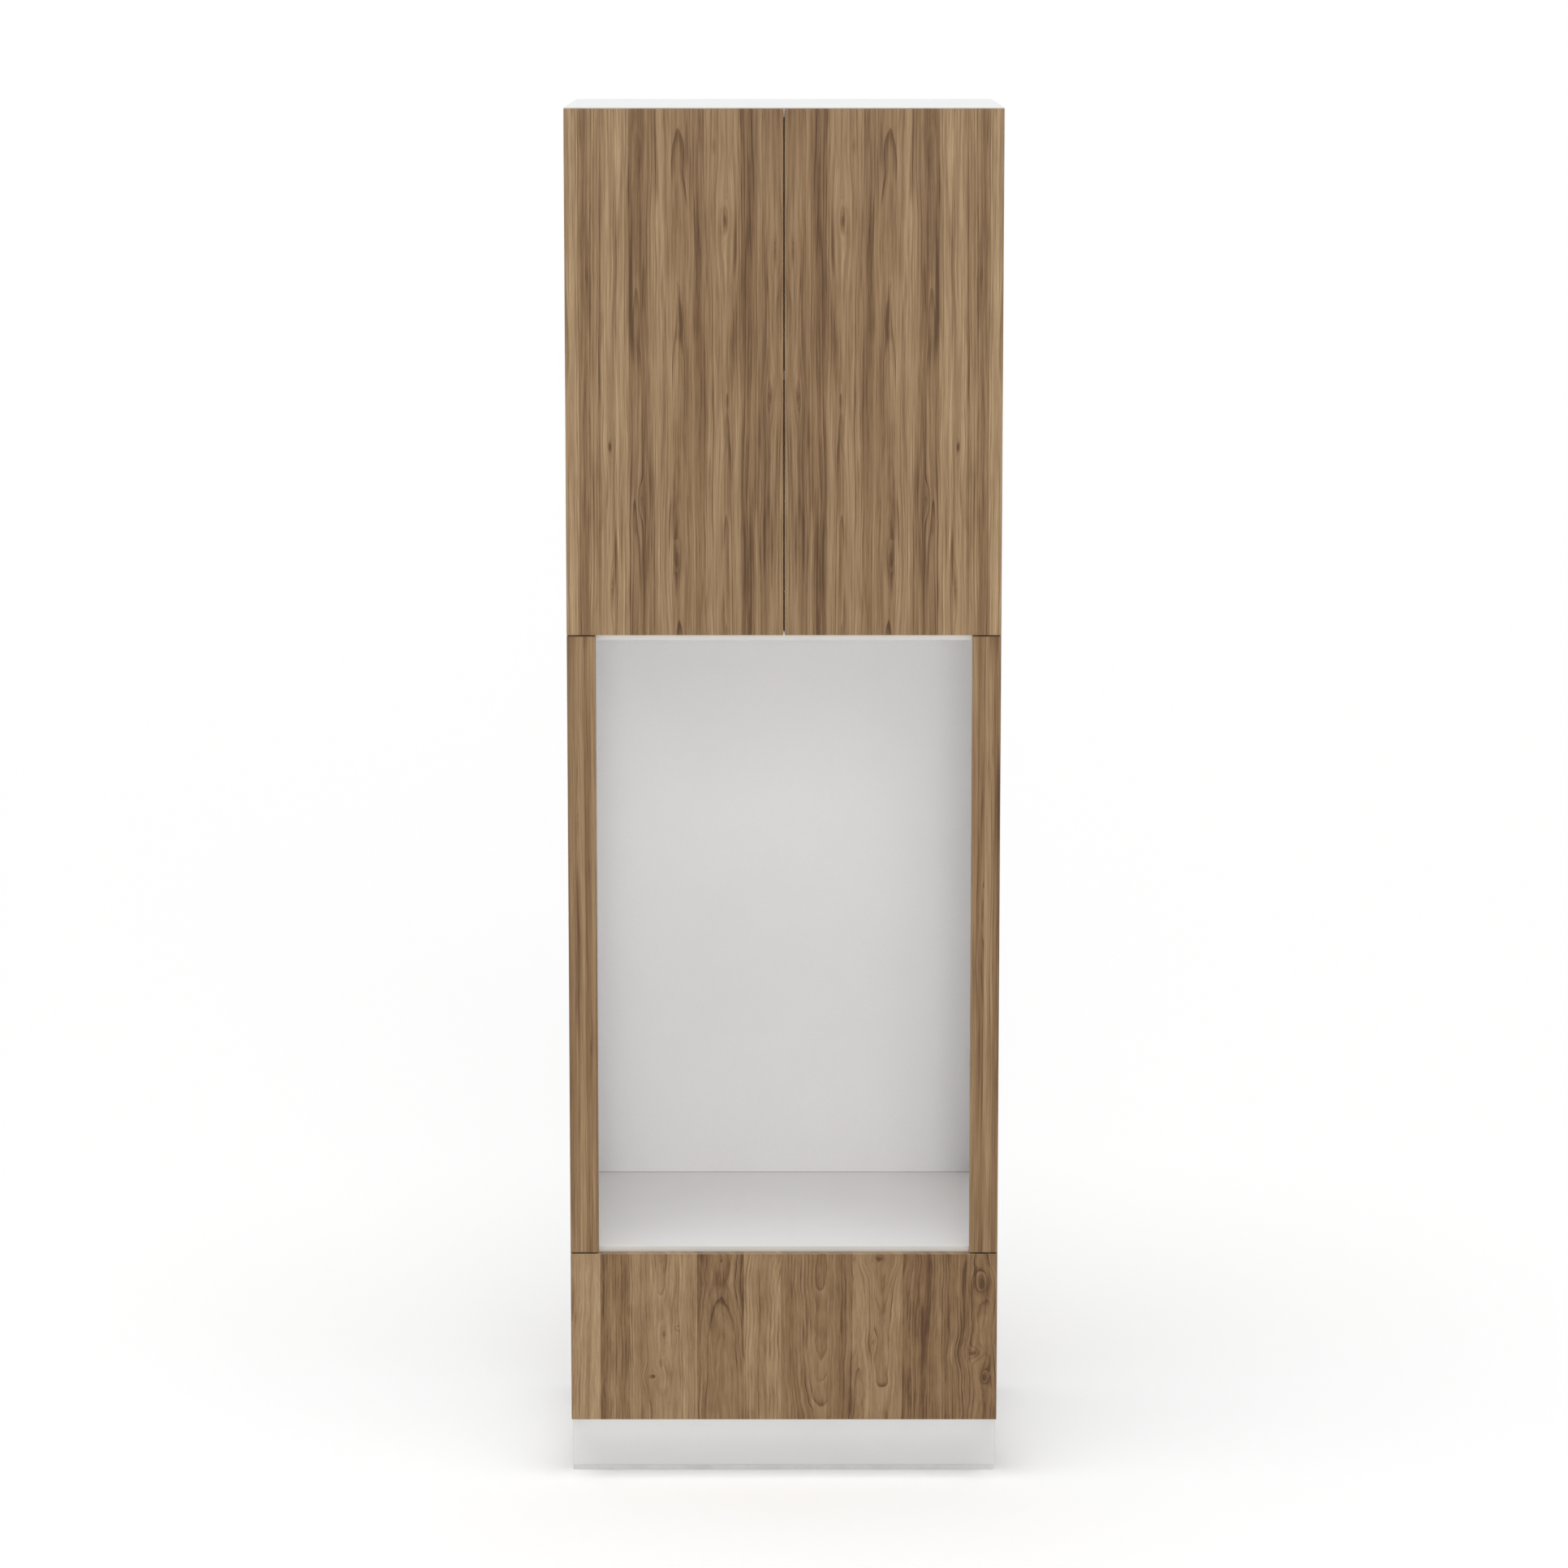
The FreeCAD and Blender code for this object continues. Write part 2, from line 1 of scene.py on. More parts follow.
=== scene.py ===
import bpy
import math
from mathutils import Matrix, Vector

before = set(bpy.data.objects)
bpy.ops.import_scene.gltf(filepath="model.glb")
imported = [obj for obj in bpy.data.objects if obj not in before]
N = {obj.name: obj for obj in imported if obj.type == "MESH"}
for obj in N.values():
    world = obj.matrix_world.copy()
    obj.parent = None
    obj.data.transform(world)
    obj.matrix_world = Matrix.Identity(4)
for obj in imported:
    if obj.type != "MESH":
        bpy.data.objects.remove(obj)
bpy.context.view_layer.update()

# ------------------------------------------------------------------ light level
# Diffuse colours are given as the display colour a piece should reach in this
# studio light; KEY is the light level on the upright faces.
KEY = 0.69


def lin(c):
    c = c / 255.0
    return c / 12.92 if c <= 0.04045 else ((c + 0.055) / 1.055) ** 2.4


def rgb(r, g, b, key=KEY):
    return tuple(min(lin(v) / key, 0.93) for v in (r, g, b)) + (1.0,)


# ------------------------------------------------------------------ node maths
class Tree:
    """A material's node tree with short ways to add nodes."""

    def __init__(self, name):
        self.mat = bpy.data.materials.new(name)
        self.mat.use_nodes = True
        self.nt = self.mat.node_tree
        self.bsdf = next(n for n in self.nt.nodes if n.type == "BSDF_PRINCIPLED")
        self.coord = self.nt.nodes.new("ShaderNodeTexCoord").outputs["Object"]
        sep = self.nt.nodes.new("ShaderNodeSeparateXYZ")
        self.nt.links.new(self.coord, sep.inputs[0])
        self.x, self.y, self.z = (S(self, sep.outputs[i]) for i in range(3))

    def put(self, socket, v):
        if isinstance(v, S):
            self.nt.links.new(v.o, socket)
        elif isinstance(v, bpy.types.NodeSocket):
            self.nt.links.new(v, socket)
        else:
            socket.default_value = v

    def math(self, op, a, b=None, c=None, clamp=False):
        n = self.nt.nodes.new("ShaderNodeMath")
        n.operation = op
        n.use_clamp = clamp
        for i, v in enumerate((a, b, c)):
            if v is not None:
                self.put(n.inputs[i], v)
        return S(self, n.outputs[0])

    def vec(self, x, y, z):
        n = self.nt.nodes.new("ShaderNodeCombineXYZ")
        for i, v in enumerate((x, y, z)):
            self.put(n.inputs[i], v)
        return n.outputs[0]

    def noise(self, vec, scale=1.0, detail=2.0, rough=0.5, signed=False):
        n = self.nt.nodes.new("ShaderNodeTexNoise")
        n.noise_dimensions = "3D"
        self.put(n.inputs["Vector"], vec)
        n.inputs["Scale"].default_value = scale
        n.inputs["Detail"].default_value = detail
        n.inputs["Roughness"].default_value = rough
        out = S(self, n.outputs[0])
        return (out - 0.5) * 2.0 if signed else out

    def voronoi(self, vec, scale, feature="F1", out="Distance"):
        n = self.nt.nodes.new("ShaderNodeTexVoronoi")
        n.feature = feature
        self.put(n.inputs["Vector"], vec)
        n.inputs["Scale"].default_value = scale
        return n.outputs[out]

    def ramp(self, fac, stops, interp="LINEAR"):
        n = self.nt.nodes.new("ShaderNodeValToRGB")
        cr = n.color_ramp
        cr.interpolation = interp
        while len(cr.elements) > 1:
            cr.elements.remove(cr.elements[-1])
        cr.elements[0].position = stops[0][0]
        cr.elements[0].color = stops[0][1]
        for p, c in stops[1:]:
            e = cr.elements.new(p)
            e.color = c
        self.put(n.inputs[0], fac)
        return n.outputs[0]

    def split(self, colour):
        n = self.nt.nodes.new("ShaderNodeSeparateColor")
        self.nt.links.new(colour, n.inputs[0])
        return tuple(S(self, n.outputs[i]) for i in range(3))

    def smooth(self, v, lo, hi, a=0.0, b=1.0):
        n = self.nt.nodes.new("ShaderNodeMapRange")
        n.interpolation_type = "SMOOTHSTEP"
        self.put(n.inputs[0], v)
        for i, w in enumerate((lo, hi, a, b)):
            n.inputs[1 + i].default_value = w
        return S(self, n.outputs[0])

    def mix(self, fac, a, b, blend="MIX"):
        n = self.nt.nodes.new("ShaderNodeMix")
        n.data_type = "RGBA"
        n.blend_type = blend
        n.clamp_factor = True
        self.put(n.inputs[0], fac)
        self.put(n.inputs[6], a)
        self.put(n.inputs[7], b)
        return n.outputs[2]

    def bump(self, height, distance, strength=1.0, under=None):
        n = self.nt.nodes.new("ShaderNodeBump")
        n.inputs["Strength"].default_value = strength
        n.inputs["Distance"].default_value = distance
        self.put(n.inputs["Height"], height)
        if under is not None:
            self.nt.links.new(under, n.inputs["Normal"])
        return n.outputs[0]

    def finish(self, colour=None, rough=None, normal=None, **const):
        b = self.bsdf.inputs
        if colour is not None:
            self.put(b["Base Color"], colour)
        if rough is not None:
            self.put(b["Roughness"], rough)
        if normal is not None:
            self.put(b["Normal"], normal)
        for k, v in const.items():
            b[k.replace("_", " ")].default_value = v
        return self.mat


class S:
    """A number socket that takes + - * / and the usual functions."""

    def __init__(self, t, o):
        self.t, self.o = t, o

    def __add__(self, b):
        return self.t.math("ADD", self, b)

    __radd__ = __add__

    def __sub__(self, b):
        return self.t.math("SUBTRACT", self, b)

    def __rsub__(self, b):
        return self.t.math("SUBTRACT", b, self)

    def __mul__(self, b):
        return self.t.math("MULTIPLY", self, b)

    __rmul__ = __mul__

    def __truediv__(self, b):
        return self.t.math("DIVIDE", self, b)

    def abs(self):
        return self.t.math("ABSOLUTE", self)

    def fract(self):
        return self.t.math("FRACT", self)

    def exp(self):
        return self.t.math("EXPONENT", self)

    def min(self, b):
        return self.t.math("MINIMUM", self, b)

    def max(self, b):
        return self.t.math("MAXIMUM", self, b)

    def gt(self, b):
        return self.t.math("GREATER_THAN", self, b)

    def lt(self, b):
        return self.t.math("LESS_THAN", self, b)

    def clamp(self):
        return self.t.math("ADD", self, 0.0, clamp=True)


# ------------------------------------------------------------------ walnut decor


def wood_rgb(r, g, b):
    return (lin(r) / 0.985, lin(g) / 1.015, lin(b) / 1.12, 1.0)


TONES = [  # dark to light
    (0.00, wood_rgb(75, 48, 20)),
    (0.14, wood_rgb(97, 68, 36)),
    (0.30, wood_rgb(121, 93, 61)),
    (0.46, wood_rgb(139, 111, 81)),
    (0.60, wood_rgb(153, 126, 95)),
    (0.78, wood_rgb(172, 146, 113)),
    (1.00, wood_rgb(192, 169, 137)),
]
RING = 210.0  # growth rings in a metre


def walnut(name, staves, lo, hi, mirrored, stretch, knots, rim, blur, seed, figure, fibres, lift=0.0):
    """A printed walnut pattern of glued staves, grain along Z.
    staves: (start, tone, heart, depth, slope, redness), from lo to hi in
    metres. A stave is cut through rings whose centre lies `depth` behind the
    face along the line x = heart, and drifts away by `slope` with height;
    stretch: how many times longer than life the figure is drawn;
    knots: (u, z, half width, half height, strength)."""
    t = Tree(name)
    u = t.x.abs() if mirrored else t.x + 0.0
    z, y = t.z, t.y
    mid = (rim[2] + rim[3]) / 2
    zs = z * (1.0 / stretch)
    p = (u - lo) / (hi - lo)

    # slow wander of the whole figure
    sway = t.noise(t.vec(u * 6.0, y * 2.0 + seed, zs * 4.6), 1.0, 2.0, 0.5, True)
    ripple = t.noise(t.vec(u * 24.0, y * 6.0 + seed, zs * 18.0), 1.0, 2.0, 0.5, True)
    uw = u + sway * 0.0075 + ripple * 0.0024 + (y + 0.290) * 0.7

    # the grain runs round its knots
    core, swirl = None, None
    for ku, kz, ru, rz, power in knots:
        a = (uw - ku) / ru
        b = (z - kz) / rz
        q = a * a + b * b
        g = (q * -0.055).exp()
        uw = uw - (u - ku) * g * (0.72 * power)
        sw = (q * -0.30).exp() * (2.2 * power)
        swirl = sw if swirl is None else swirl + sw
        c = (q * -1.6).exp() * (0.44 * power)
        core = c if core is None else core.max(c)

    # what each stave is like
    def at(s):
        return min(max((s - lo) / (hi - lo), 0.0), 1.0)

    geo, look = [], []
    for s, tone, heart, depth, slope, red in staves:
        geo.append((at(s), ((heart - lo) / (hi - lo) * 0.5 + 0.25, depth, slope * 0.5 + 0.5, 1.0)))
        look.append((at(s), (tone, red, (s * 37.77) % 1.0, 1.0)))
    heart_c, depth_c, slope_c = t.split(t.ramp(p, geo, "CONSTANT"))
    if blur:
        edge = p + t.noise(t.vec(u * 90.0, y, zs * 9.0), 1.0, 3.0, 0.6, True) * blur
        tone_c, red_c, rnd_c = t.split(t.ramp(edge, look, "CONSTANT"))
    else:
        tone_c, red_c, rnd_c = t.split(t.ramp(p, look, "CONSTANT"))
    dx = uw - ((heart_c - 0.25) * (2.0 * (hi - lo)) + lo)
    d = depth_c + (slope_c - 0.5) * 2.0 * (z - mid) * (1.0 / stretch)
    d = d + t.noise(t.vec(u * 5.0, y + seed + 3.0, zs * 8.0 + rnd_c * 9.0), 1.0, 2.0, 0.5, True) * 0.0100
    d = d + t.noise(t.vec(u * 34.0, y + seed + 9.0, zs * 27.0), 1.0, 2.0, 0.5, True) * 0.0030
    radius = t.math("SQRT", dx * dx + d * d)
    phase = radius * RING + rnd_c * 40.0
    if swirl is not None:
        phase = phase + swirl

    # rings: a dark late-wood line, a soft shade before it, none quite alike
    band = t.noise(t.vec(phase * 0.30, seed, rnd_c), 1.0, 2.0, 0.6, True)
    thin = t.noise(t.vec(phase * 2.1, seed + 2.0, rnd_c + zs * 2.0), 1.0, 2.0, 0.6, True)
    vary = t.smooth(t.noise(t.vec(phase * 0.62, seed + 6.0, rnd_c), 1.0, 1.0, 0.5), 0.36, 0.66)
    saw = phase.fract()
    line = t.smooth(saw, 0.66, 0.95) * t.smooth(saw, 0.955, 1.0, 1.0, 0.0)
    shade = t.smooth(saw, 0.10, 0.95) * t.smooth(saw, 0.955, 1.0, 1.0, 0.0)
    fade = t.smooth(t.noise(t.vec(u * 26.0, y + seed + 5.0, zs * 12.0), 1.0, 2.0, 0.5), 0.30, 0.66, 0.25, 1.0)

    # long fibres, broad streaks, clouds and open pores
    streak = t.noise(t.vec(uw * 46.0 + seed, y * 20.0, zs * 4.6), 1.0, 3.0, 0.62, True)
    fibre = t.noise(t.vec(uw * 175.0, y * 170.0 + seed, zs * 11.0), 1.0, 2.0, 0.6, True)
    hair = t.noise(t.vec(uw * 420.0, y * 400.0 + seed, zs * 24.0), 1.0, 2.0, 0.6, True)
    fine = t.noise(t.vec(uw * 900.0, y * 900.0 + seed, zs * 42.0), 1.0, 2.0, 0.6, True)
    cloud = t.noise(t.vec(u * 22.0, y + seed + 1.0, zs * 17.0), 1.0, 3.0, 0.55, True)
    pore = t.smooth(t.noise(t.vec(uw * 1100.0, y * 1100.0, zs * 80.0 + seed), 1.0, 2.0, 0.6), 0.58, 0.72)

    flame = t.smooth(t.noise(t.vec(uw * 70.0 + seed, y * 9.0 + seed, zs * 9.5), 1.0, 3.0, 0.6), 0.52, 0.72)

    tone = tone_c + lift + streak * 0.18 + cloud * 0.10 - flame * (0.20 * fibres) + 0.035
    tone = tone + (fibre * 0.22 + hair * 0.22 + fine * 0.12) * fibres
    tone = tone + (band * 0.24 + thin * 0.10) * figure
    tone = tone - (line * 0.22 * figure + shade * 0.15 * figure) * vary * fade - pore * 0.10
    if core is not None:
        grit = t.noise(t.vec(uw * 330.0, y * 300.0, z * 120.0), 1.0, 2.0, 0.6)
        tone = tone - core * t.smooth(grit, 0.25, 0.60, 0.45, 1.25)
    wood = t.ramp(tone, TONES)

    # some staves are redder, some greyer
    hue = (red_c - 0.5) * 1.0 + t.noise(t.vec(u * 9.0, y + seed + 7.0, zs * 4.0), 1.0, 1.0, 0.5, True) * 0.28
    wood = t.mix(hue.max(0.0) * 0.9, wood, (1.03, 0.945, 0.85, 1.0), "MULTIPLY")
    wood = t.mix((hue * -1.0).max(0.0) * 0.9, wood, (0.96, 1.01, 1.04, 1.0), "MULTIPLY")

    # glue line of the edge band, one millimetre in from the rim
    x0, x1, z0, z1 = rim
    ux = t.x.abs() if mirrored else t.x
    d = (x1 - ux).min(ux - x0).min(t.z - z0).min(z1 - t.z)
    joint = t.smooth((d - 0.0011).abs(), 0.00006, 0.00022, 1.0, 0.0)
    wood = t.mix(joint * 0.45, wood, rgb(62, 44, 30))
    worn = t.smooth(d, 0.0, 0.0007, 1.0, 0.0) * t.noise(t.vec(t.x * 60.0, t.y * 60.0, t.z * 60.0), 1.0, 2.0)
    wood = t.mix(worn * 0.30, wood, rgb(196, 174, 146))

    rough = 0.47 + fibre * 0.05 + pore * 0.12 + t.noise(t.vec(t.x * 5.0, t.y * 5.0, t.z * 5.0), 1.0, 2.0, 0.5, True) * 0.05
    height = fine * 0.35 + hair * 0.35 - pore * 1.0 - line * 0.5
    normal = t.bump(height, 0.00007, 0.55)
    return t.finish(wood, rough, normal, Specular_IOR_Level=0.34)


def mm(v):
    return v / 1000.0


def staves(rows):
    return [(mm(s), tone, mm(heart), mm(depth), slope, red) for s, tone, heart, depth, slope, red in rows]


DOOR_STAVES = staves((
    (0, 0.40, -60, 20, 0.02, 0.52),
    (22, 0.36, 90, 20, -0.03, 0.52),
    (44, 0.31, 140, 30, 0.03, 0.60),
    (68, 0.45, 91, 12, 0.05, 0.46),
    (96, 0.48, 60, 16, -0.04, 0.46),
    (122, 0.40, 215, 30, 0.03, 0.54),
    (153, 0.41, 168, 16, 0.06, 0.52),
    (179, 0.53, 260, 30, -0.02, 0.46),
    (206, 0.45, 150, 30, 0.03, 0.48),
    (220, 0.40, 233, 11, 0.07, 0.50),
    (247, 0.56, 180, 20, 0.03, 0.43),
    (267, 0.55, 350, 24, -0.03, 0.42),
    (291, 0.49, 240, 20, 0.04, 0.46),
    (311, 0.41, 400, 24, 0.03, 0.46),
    (328, 0.62, 250, 30, -0.03, 0.32),
))
DOOR_KNOTS = [
    (mm(93.5), 2.063, 0.0042, 0.020, 1.00),
    (mm(110), 2.178, 0.0022, 0.016, 0.40),
    (mm(15), 2.018, 0.0026, 0.030, 0.60),
    (mm(22), 1.784, 0.0036, 0.018, 0.70),
    (mm(278), 1.703, 0.0026, 0.010, 0.65),
    (mm(225), 1.618, 0.0030, 0.013, 0.55),
    (mm(170), 1.520, 0.0048, 0.022, 0.65),
    (mm(273), 1.475, 0.0024, 0.024, 0.55),
]
walnut_door = walnut("walnut_door", DOOR_STAVES, 0.0, 0.35, True, 2.7, DOOR_KNOTS,
                     (0.001, 0.349, 1.400, 2.239), 0.012, 1.7, 1.15, 1.36, 0.0)

DRAWER_STAVES = staves((
    (-350, 0.66, -180, 40, 0.03, 0.20),
    (-303, 0.39, -352, 18, 0.07, 0.50),
    (-255, 0.49, -420, 40, 0.05, 0.46),
    (-223, 0.47, -200, 18, -0.065, 0.42),
    (-179, 0.58, -300, 40, -0.04, 0.43),
    (-144, 0.35, -101, 30, 0.060, 0.50),
    (-68, 0.56, 30, 46, 0.05, 0.46),
    (-6, 0.41, 62, 24, -0.060, 0.54),
    (69, 0.38, 170, 34, 0.05, 0.52),
    (111, 0.46, 122, 15, 0.055, 0.44),
    (146, 0.41, 160, 20, -0.060, 0.44),
    (193, 0.32, 90, 40, 0.04, 0.52),
    (213, 0.25, 320, 40, 0.05, 0.62),
    (240, 0.36, 160, 30, 0.04, 0.58),
    (275, 0.31, 390, 40, -0.05, 0.70),
    (296, 0.30, 325, 20, 0.05, 0.50),
))
DRAWER_KNOTS = [
    (mm(-214), 0.1740, 0.0038, 0.0030, 0.90),
    (mm(-175), 0.2550, 0.0018, 0.0028, 0.60),
    (mm(-197), 0.2450, 0.0040, 0.0080, 0.45),
    (mm(156), 0.3720, 0.0090, 0.0060, 0.75),
    (mm(146), 0.2320, 0.0026, 0.0050, 0.55),
    (mm(324), 0.3310, 0.0050, 0.0100, 0.90),
    (mm(312), 0.2130, 0.0065, 0.0050, 0.75),
    (mm(330), 0.1720, 0.0042, 0.0070, 0.65),
]
walnut_drawer = walnut("walnut_drawer", DRAWER_STAVES, -0.35, 0.35, False, 1.0, DRAWER_KNOTS,
                       (-0.349, 0.349, 0.101, 0.380), 0.0, 4.2, 1.18, 0.86, -0.015)

FILLER_STAVES_L = staves((
    (-350, 0.47, -430, 20, 0.03, 0.52),
    (-337, 0.55, -420, 20, -0.03, 0.45),
    (-322, 0.42, -240, 20, 0.04, 0.56),
    (-312, 0.52, -250, 20, 0.02, 0.48),
))
walnut_filler_l = walnut("walnut_filler_left", FILLER_STAVES_L, -0.35, -0.30, False, 3.4,
                         [(mm(-331), 1.10, 0.0016, 0.026, 0.5), (mm(-314), 0.72, 0.0016, 0.024, 0.45)],
                         (-0.349, -0.303, 0.382, 1.398), 0.02, 8.3, 0.8, 1.15, -0.085)
FILLER_STAVES_R = staves((
    (300, 0.52, 380, 20, 0.03, 0.48),
    (313, 0.43, 250, 20, -0.03, 0.56),
    (324, 0.55, 420, 20, 0.04, 0.45),
    (338, 0.47, 250, 20, 0.02, 0.52),
))
walnut_filler_r = walnut("walnut_filler_right", FILLER_STAVES_R, 0.30, 0.35, False, 3.4,
                         [(mm(322), 0.95, 0.0016, 0.026, 0.5), (mm(336), 1.21, 0.0016, 0.022, 0.45)],
                         (0.303, 0.349, 0.382, 1.398), 0.02, 11.9, 0.8, 1.15, -0.08)


# ------------------------------------------------------------------ white boards
def flakes(t):
    """Raw chipboard: pressed flakes in browns."""
    v = t.vec(t.x * 1.0, t.y * 1.0, t.z * 1.0)
    a = t.voronoi(v, 560.0, out="Color")
    r, g, b = t.split(a)
    n = t.noise(v, 1300.0, 3.0, 0.6)
    return t.ramp(r * 0.6 + n * 0.45, [
        (0.0, rgb(108, 86, 62)), (0.35, rgb(148, 124, 94)), (0.65, rgb(176, 152, 120)), (1.0, rgb(202, 182, 152))])


def board(name, base=(245, 243.5, 242.5), raw=None, raw_kind="chip", band=None, seam=None, joint=None):
    """White melamine with a fine pearl texture. raw: a function of the tree
    that is 1 on uncoated faces; band: 1 on edge-banded faces; seam: distance
    to the glue line of the band; joint: distance to an inside corner, along
    which a thin painted shadow line (painted shade) darkens the colour."""
    t = Tree(name)
    p = t.vec(t.x, t.y, t.z)
    pearl = t.noise(p, 620.0, 2.0, 0.55)
    cloud = t.noise(p, 3.0, 3.0, 0.55, True)
    smudge = t.noise(t.vec(t.x * 9.0, t.y * 9.0, t.z * 4.0), 1.0, 4.0, 0.6)
    b0 = rgb(base[0], base[1], base[2], 1.0)
    b1 = rgb(base[0] - 5, base[1] - 5, base[2] - 5, 1.0)
    col = t.mix(t.smooth(cloud, -0.6, 0.6), b0, b1)
    col = t.mix(t.smooth(pearl, 0.35, 0.7) * 0.35, col, rgb(base[0] - 12, base[1] - 12, base[2] - 12, 1.0))
    rough = 0.36 + (smudge - 0.5) * 0.16 + (pearl - 0.5) * 0.10
    height = pearl * 1.0
    if band is not None:
        f = band(t)
        col = t.mix(f * 1.0, col, rgb(base[0] - 13, base[1] - 14, base[2] - 17, 1.0))
        rough = rough - f * 0.06
    if seam is not None:
        g = t.smooth(seam(t).abs(), 0.00006, 0.00020, 1.0, 0.0)
        col = t.mix(g * 0.5, col, rgb(150, 146, 140, 1.0))
    # painted shade: a thin grey shadow line is mixed into the colour along the inside corner that joint gives
    if joint is not None:
        g = t.smooth(joint(t).abs(), 0.0004, 0.0022, 1.0, 0.0)
        col = t.mix(g * 0.42, col, rgb(128, 124, 120, 1.0))
    if raw is not None:
        f = raw(t)
        if raw_kind == "chip":
            col = t.mix(f, col, flakes(t))
        else:  # hardboard: dense brown fibre with a screen print
            weave = t.noise(t.vec(t.x * 500.0, t.y, t.z * 500.0), 1.0, 2.0, 0.5)
            fib = t.noise(t.vec(t.x * 90.0, t.y, t.z * 60.0), 1.0, 4.0, 0.65)
            col = t.mix(f, col, t.ramp(weave * 0.5 + fib * 0.5, [
                (0.2, rgb(84, 62, 44)), (0.5, rgb(114, 87, 62)), (0.8, rgb(140, 111, 82))]))
        rough = rough + f * 0.40
        height = height + f * t.noise(p, 900.0, 3.0, 0.6) * 4.0
    normal = t.bump(height, 0.00005, 0.5)
    return t.finish(col, rough, normal, Specular_IOR_Level=0.42)


def front_band(t):
    return t.y.lt(-0.2692)


def front_seam(t):
    return t.y + 0.2690


side_mat = board("melamine_side", raw=lambda t: t.y.gt(0.28985).max(t.z.lt(0.1002)), band=front_band, seam=front_seam)
top_mat = board("melamine_top", base=(236, 237, 237), raw=lambda t: t.y.gt(0.28985), band=lambda t: front_band(t).max(t.x.abs().gt(0.3492)),
                seam=lambda t: (t.y + 0.2690).abs().min((t.x.abs() - 0.3490).abs()))
shelf_mat = board("melamine_shelf", band=front_band, seam=front_seam)
loose_mat = board("melamine_loose_shelf", band=lambda t: t.y.lt(-0.2492), seam=lambda t: t.y + 0.2490)
rail_mat = board("melamine_rail", raw=lambda t: t.z.lt(0.1153).max((t.z - 0.195).abs().lt(0.0003)).max((t.z - 2.145).abs().lt(0.0003)))
plinth_mat = board("melamine_plinth", base=(232, 232, 231),
                   raw=lambda t: t.x.abs().gt(0.3488).max(t.z.gt(0.0978)))
# the back panel carries a painted shadow line along the inside corner where it meets the niche floor, at z = 0.3885
back_mat = board("back_panel_foil", base=(245, 243.5, 243), raw=lambda t: t.y.gt(0.26785), raw_kind="hard",
                 joint=lambda t: t.z - 0.3885)
batten_mat = board("melamine_batten", base=(243, 241.5, 239))
dbox_mat = board("melamine_drawer_box", base=(245, 243.5, 242), band=lambda t: t.z.gt(0.3172), seam=lambda t: t.z - 0.3170,
                 raw=lambda t: t.z.lt(0.1282))
dbot_mat = board("drawer_bottom_foil", base=(243, 242, 239), raw=lambda t: t.z.lt(0.1401), raw_kind="hard")


# ------------------------------------------------------------------ metals, plastics, beech
def metal(name, colour, rough, streak=(40.0, 900.0, 40.0), grain=0.10, spangle=0.0):
    t = Tree(name)
    s = t.noise(t.vec(t.x * streak[0], t.y * streak[1], t.z * streak[2]), 1.0, 3.0, 0.6, True)
    c = t.noise(t.vec(t.x, t.y, t.z), 260.0, 3.0, 0.6, True)
    d = tuple(v * 0.80 for v in colour) + (1.0,)
    col = t.mix(t.smooth(s + c * 0.5, -0.7, 0.7), colour + (1.0,), d)
    r = rough + s * grain + c * 0.04
    if spangle:
        a, b, e = t.split(t.voronoi(t.vec(t.x, t.y, t.z), 160.0, out="Color"))
        col = t.mix(a * spangle, col, tuple(min(v * 1.15, 1.0) for v in colour) + (1.0,))
        r = r + (b - 0.5) * 0.10
    n = t.bump(s * 0.6 + c * 0.4, 0.00003, 0.5)
    return t.finish(col, r, n, Metallic=1.0)


zinc_sheet = metal("zinc_sheet", (0.62, 0.635, 0.65), 0.34, (900.0, 14.0, 900.0), 0.08, 0.5)
zinc_cast = metal("zinc_cast", (0.56, 0.565, 0.575), 0.40, (300.0, 300.0, 300.0), 0.06)
nickel = metal("nickel_plate", (0.66, 0.645, 0.62), 0.22, (700.0, 40.0, 700.0), 0.06)
screw_zinc = metal("screw_zinc", (0.64, 0.64, 0.63), 0.30, (600.0, 600.0, 600.0), 0.08)
ball_steel = metal("ball_steel", (0.70, 0.70, 0.71), 0.10, (400.0, 400.0, 400.0), 0.03)


def plastic(name, colour, rough, pit=900.0, depth=0.00004, **const):
    t = Tree(name)
    p = t.vec(t.x, t.y, t.z)
    n1 = t.noise(p, pit, 2.0, 0.5)
    n2 = t.noise(p, 24.0, 3.0, 0.55, True)
    d = tuple(v * 0.86 for v in colour[:3]) + (1.0,)
    col = t.mix(t.smooth(n2, -0.6, 0.6), colour, d)
    r = rough + (n1 - 0.5) * 0.16 + n2 * 0.05
    return t.finish(col, r, t.bump(n1, depth, 0.6), **const)


grey_plastic = plastic("grey_plastic", rgb(150, 151, 152), 0.48)
clear_plastic = plastic("clear_bumper", rgb(214, 216, 218), 0.25, 300.0, Specular_IOR_Level=0.6)
seal_plastic = plastic("plinth_lip", rgb(192, 191, 190), 0.42, 500.0)
black_plastic = plastic("black_plastic", (0.022, 0.022, 0.024, 1.0), 0.46, 1100.0, 0.00006)

t = Tree("beech_dowel")
f1 = t.noise(t.vec(t.x * 60.0, t.y * 900.0, t.z * 900.0), 1.0, 3.0, 0.6)
f2 = t.noise(t.vec(t.x, t.y, t.z), 1400.0, 1.0, 0.5)
beech = t.finish(t.ramp(f1 * 0.8 + f2 * 0.2, [(0.2, rgb(176, 134, 92)), (0.5, rgb(206, 166, 122)), (0.8, rgb(222, 188, 148))]),
                 0.62 + (f1 - 0.5) * 0.1, t.bump(f1, 0.0001, 0.5))

